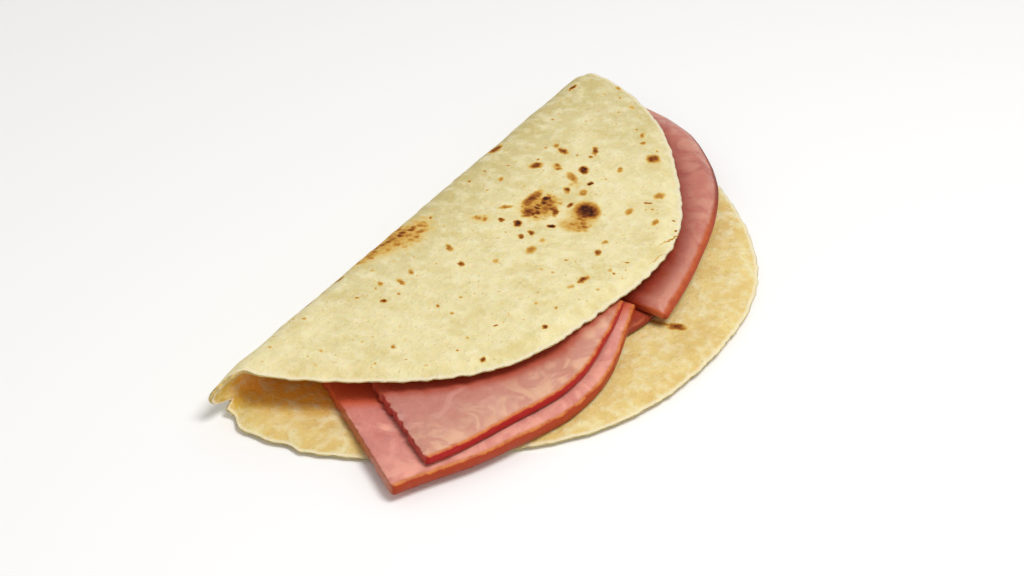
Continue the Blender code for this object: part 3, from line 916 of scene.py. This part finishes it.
@dataclass
class HamSlice:
    """One slice of ham: its skin side as a few points, its inner side as two."""

    name: str
    skin: tuple[tuple[float, float], ...]
    inner: tuple[tuple[float, float], tuple[float, float]]
    thickness: float
    finish: HamFinish
    lies_on: tuple[str, ...] = ()
    tear: float = 0.12
    rounding: float = 0.7
    corner: float = 2.2
    skin_bulge: float = 0.25
    skin_rows: float = 1.3
    tear_reach: float = 3.0
    # Waves of the top face: size in mm, seed and height in mm
    waves: tuple[tuple[float, float, float], ...] = ((11.0, 1.0, 0.20), (4.0, 6.0, 0.09))
    edge_sag: float = 0.6
    sag_width: float = 4.0
    columns: int = 130
    rows: int = 88

    def skin_length(self) -> float:
        """Length of the skin side."""
        return sum(math.dist(a, b) for a, b in zip(self.skin, self.skin[1:]))

    def skin_point(self, fraction: float) -> tuple[float, float]:
        """A point on the soft curve of the skin side.

        Args:
            fraction: How far along its length, 0 to 1.

        Returns:
            The point on the plan.
        """
        steps = [math.dist(a, b) for a, b in zip(self.skin, self.skin[1:])]
        along = fraction * sum(steps)
        leg = 0
        while leg < len(steps) - 1 and along > steps[leg]:
            along -= steps[leg]
            leg += 1
        t = min(along / steps[leg], 1.0)
        points = (self.skin[max(leg - 1, 0)], self.skin[leg], self.skin[leg + 1],
                  self.skin[min(leg + 2, len(self.skin) - 1)])
        x, y = (0.5 * (2 * b + (c - a) * t + (2 * a - 5 * b + 4 * c - d) * t ** 2
                       + (3 * b - a - 3 * c + d) * t ** 3)
                for a, b, c, d in zip(*points))
        return x, y

    def ends(self, s: float) -> tuple[tuple[float, float], tuple[float, float]]:
        """The inner end and the skin end of one row across the slice."""
        (ax, ay), (bx, by) = self.inner
        return (ax + (bx - ax) * s, ay + (by - ay) * s), self.skin_point(s)

    def outline(self, samples: int = 60) -> list[tuple[float, float]]:
        """The slice's outline on the plan, once round."""
        shares = [i / samples for i in range(samples + 1)]
        return ([self.ends(s)[1] for s in shares] + [self.ends(s)[0] for s in reversed(shares)])

    def covers(self, field_map: HeightMap) -> np.ndarray:
        """Which values of a height map lie under the slice.

        Args:
            field_map: The height map's grid.

        Returns:
            A map that is true under the slice.
        """
        x, y = field_map.axes()
        sides = self.outline()
        inside = np.zeros(x.shape, bool)
        for (ax, ay), (bx, by) in zip(sides, sides[1:] + sides[:1]):
            if ay != by:
                crosses = (ay > y) != (by > y)
                inside ^= crosses & (x < ax + (bx - ax) * (y - ay) / (by - ay))
        return inside

    def build(self, field_map: HeightMap, underside: np.ndarray,
              cover: Callable[[float, float], float]) -> bpy.types.Object:
        """Build the slice over what carries it.

        Args:
            field_map: The height map's grid.
            underside: The height of the slice's underside.
            cover: How far under the upper sheet a point of the plan is.

        Returns:
            The piece that stands for the slice.
        """
        slab = unit_slab(self.columns, self.rows, 6)
        from_skin = slab.verts.layers.float.new("from_skin")
        level_layer = slab.verts.layers.float.new("level")
        cover_layer = slab.verts.layers.float.new("cover")
        length = self.skin_length()
        for point in slab.verts:
            s, t, level = point.co
            level = math.sin(level * math.pi / 2)
            drop = (1 - abs(level)) * self.thickness / 2
            short = max(self.rounding - drop, 0)
            inset = self.rounding - math.sqrt(self.rounding ** 2 - short ** 2)
            s = (inset + s * (length - 2 * inset)) / length
            tear = self.tear * math.exp(-min(s, 1 - s) * length / self.tear_reach)
            (ax, ay), (bx, by) = self.ends(s)
            span = math.dist((ax, ay), (bx, by))
            away = inset + (1 - t) ** self.skin_rows * (span - 2 * inset)
            short = max(self.corner - s * length, 0)
            away += (self.corner - math.sqrt(self.corner ** 2 - short ** 2)) * t ** 4
            jag = ripple(away, level, 2.4, 3.0 + s) + 0.6 * ripple(away, level, 1.1, 8.0 + s)
            s_torn = min(max(s + tear * jag / length, -0.02), 1.02)
            (ax, ay), (bx, by) = self.ends(s_torn)
            bulge = self.skin_bulge * (1 - level * level) * (t > 0.999)
            share = (away - bulge) / span
            x, y = bx + (ax - bx) * share, by + (ay - by) * share
            height = field_map.at(underside, x, y) + self.thickness * (0.5 + 0.5 * level)
            from_side = min(away, min(s, 1 - s) * length)
            if level > 0:
                height += sum(far * ripple(x, y, size, seed) for size, seed, far in self.waves)
                height -= self.edge_sag * level * smooth_step(1 - from_side / self.sag_width)
            point[from_skin] = away * MM
            point[level_layer] = level
            point[cover_layer] = cover(x, y) * MM
            point.co = (x, y, height)
        return finish_piece(self.name, slab, self.finish.make())


@dataclass
class Filling:
    """The four slices of ham, each draped over what lies below it."""

    tortilla: Tortilla
    gap: float = 0.3
    air_sag: float = 0.5
    sag_reach: float = 20.0
    drape_reach: int = 7
    fold_stop: float = -4.0

    def slices(self) -> tuple[HamSlice, ...]:
        """The slices, each as a quarter of one oval slice.

        Returns:
            The slices, from the lowest up.
        """
        stop = self.fold_stop
        return (
            HamSlice(
                "ham_slice_back_lower",
                ((-15.0, -73.0), (-8.0, -75.2), (2.0, -77.0), (16.0, -75.5), (40.0, -69.5),
                 (60.0, -63.5), (76.0, -54.5), (90.0, -39.0), (97.0, -21.0), (99.0, stop)),
                ((-4.0, stop), (84.0, stop)), 3.0,
                # Painted shade: this slice's whole finish is a dark red-brown, as the little of it
                # that shows lies in shade under the slice above
                HamFinish("cooked_ham_back_lower", meat="#9C3A28", pale="#A8543E",
                          fat="#A04630", deep="#86301F", cut="#963C26", skin="#93351F",
                          skin_painted_highlight="#B45A34"),
            ),
            HamSlice(
                "ham_slice_back_upper",
                ((-0.2, -82.6), (19.4, -79.8), (43.2, -74.4), (56.3, -70.6), (70.0, -65.0),
                 (80.5, -58.6), (90.4, -50.6), (100.0, -41.0), (106.2, -30.0), (108.8, -20.0),
                 (109.8, -12.0), (110.0, stop)),
                ((-1.0, stop), (86.0, stop)), 3.5,
                HamFinish("cooked_ham_back_upper", meat="#BE6C5C", pale="#D8987E",
                          fat="#D2907A", deep="#A4504A", cut="#C85E28", shade="#8E2612",
                          skin="#AA421C", skin_painted_highlight="#BE5A28", skin_painted_shade="#8A2C16",
                          skin_far="#74281C", skin_depth=1.2, shade_reach=7.0),
                ("ham_slice_back_lower",),
                rounding=1.3,
                edge_sag=1.1,
            ),
            HamSlice(
                "ham_slice_front_lower",
                ((-108.0, -56.8), (-97.4, -62.3), (-85.2, -69.2), (-72.9, -74.2), (-56.6, -80.0),
                 (-44.8, -81.5), (-34.7, -81.2), (-24.3, -79.3), (-13.3, -76.6), (-2.6, -73.4)),
                ((-68.0, stop), (-2.6, -46.0)), 4.1,
                HamFinish("cooked_ham_front_lower", meat="#D4867A", pale="#EEA894",
                          fat="#EAA490", deep="#C06C62", cut="#AC5426", shade="#CC5836",
                          skin="#A8380C", skin_painted_highlight="#D07E34"),
                ("ham_slice_back_lower",),
                tear=0.6,
            ),
            HamSlice(
                "ham_slice_front_upper",
                ((-97.3, -60.6), (-88.0, -65.0), (-69.2, -71.0), (-53.5, -75.7), (-42.8, -76.9),
                 (-31.8, -76.4), (-19.0, -74.9), (-7.6, -72.0)),
                ((-56.0, stop), (-7.6, -44.0)), 3.4,
                # Painted shade: a deep dark red on the skin and cut walls, which stand in shade
                HamFinish("cooked_ham_front_upper", meat="#C68274", pale="#DEA294",
                          fat="#E2B090", skin="#A80C06", skin_painted_highlight="#D07834",
                          skin_painted_shade="#8A0C06", cut="#A81E14", shade="#B8503A"),
                ("ham_slice_front_lower",),
                tear=1.6,
            ),
        )

    def build(self) -> list[bpy.types.Object]:
        """Drape and build every slice.

        Returns:
            The pieces, from the lowest up.
        """
        grid = HeightMap()
        x, y = grid.axes()
        centre = self.tortilla.centre
        out = np.hypot(x - centre[0], y - centre[1])
        edge = np.vectorize(self.tortilla.edge_radius)(np.arctan2(y - centre[1], x - centre[0]))
        past = np.clip((out - edge) / self.sag_reach, 0, 1)
        lift = np.vectorize(self.tortilla.lower_lift)(x, y)
        floor = self.tortilla.thickness + lift - self.air_sag * past
        tops: dict[str, np.ndarray] = {}
        pieces = []
        for ham in self.slices():
            carried = floor.copy()
            for other in ham.lies_on:
                carried = np.maximum(carried, tops[other])
            raised = grid.spread(carried, self.drape_reach + 1, np.max)
            underside = grid.spread(raised, self.drape_reach, np.mean) + self.gap
            tops[ham.name] = np.where(ham.covers(grid), underside + ham.thickness, carried)
            pieces.append(ham.build(grid, underside, self.tortilla.cover))
        return pieces


# Studio


@dataclass
class Studio:
    """Pale floor, soft light from above and behind, and the camera."""

    floor_size: float = 3.0
    floor_colour: str = "#FCFBF9"
    sky_strength: float = 0.5
    key_power: float = 6.0
    key_place: tuple[float, float, float] = (-0.08, -0.38, 0.9)
    key_size: float = 0.4
    camera_place: tuple[float, float, float] = (-562.96, -289.93, 416.84)
    camera_aim: tuple[float, float, float] = (-1.2, 15.4, 0.0)
    camera_roll: float = 1.99
    camera_lens: float = 90.72

    def make_floor(self) -> bpy.types.Object:
        """Lay the floor.

        Returns:
            The floor, marked as no part of the object.
        """
        sheet = bmesh.new()
        bmesh.ops.create_grid(sheet, x_segments=1, y_segments=1, size=self.floor_size)
        bmesh.ops.translate(sheet, verts=sheet.verts[:], vec=(0.0, 0.0, -0.2 * MM))
        mesh = bpy.data.meshes.new("floor")
        sheet.to_mesh(mesh)
        sheet.free()
        # Matt white paint: even and pale, so it takes a soft shadow and gives no highlight
        material = bpy.data.materials.new("matt_painted_floor")
        material.use_nodes = True
        shader = material.node_tree.nodes["Principled BSDF"]
        shader.inputs["Base Color"].default_value = linear(self.floor_colour)
        shader.inputs["Roughness"].default_value = 0.9
        mesh.materials.append(material)
        floor = bpy.data.objects.new("floor", mesh)
        bpy.context.scene.collection.objects.link(floor)
        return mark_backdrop(floor)

    def light(self) -> None:
        """Set the sky and the soft key light."""
        scene = bpy.context.scene
        scene.world = scene.world or bpy.data.worlds.new("studio")
        scene.world.use_nodes = True
        sky = scene.world.node_tree.nodes["Background"]
        sky.inputs["Color"].default_value = linear("#FFFFFF")
        sky.inputs["Strength"].default_value = self.sky_strength
        lamp = bpy.data.lights.new("key", "AREA")
        lamp.energy = self.key_power
        lamp.size = self.key_size
        key = bpy.data.objects.new("key", lamp)
        key.location = self.key_place
        key.rotation_euler = (-Vector(self.key_place)).to_track_quat("-Z", "Y").to_euler()
        scene.collection.objects.link(key)
        scene.view_settings.view_transform = "Standard"

    def place_camera(self) -> None:
        """Stand the camera where the photograph was taken from."""
        lens = bpy.data.cameras.new("camera")
        lens.lens = self.camera_lens
        lens.clip_start = 0.01
        camera = bpy.data.objects.new("camera", lens)
        place, aim = Vector(self.camera_place) * MM, Vector(self.camera_aim) * MM
        turned = (aim - place).to_track_quat("-Z", "Y").to_matrix().to_4x4()
        roll = Matrix.Rotation(math.radians(self.camera_roll), 4, "Z")
        camera.matrix_world = Matrix.Translation(place) @ turned @ roll
        bpy.context.scene.collection.objects.link(camera)
        bpy.context.scene.camera = camera

    def build(self) -> None:
        """Set up the floor, the light and the camera."""
        self.make_floor()
        self.light()
        self.place_camera()


def main() -> None:
    """Build the taco and its studio."""
    logging.basicConfig(level=logging.INFO, format="%(message)s")
    Studio().build()
    tortilla = Tortilla()
    tortilla.build()
    Filling(tortilla).build()


if __name__ == "__main__":
    main()
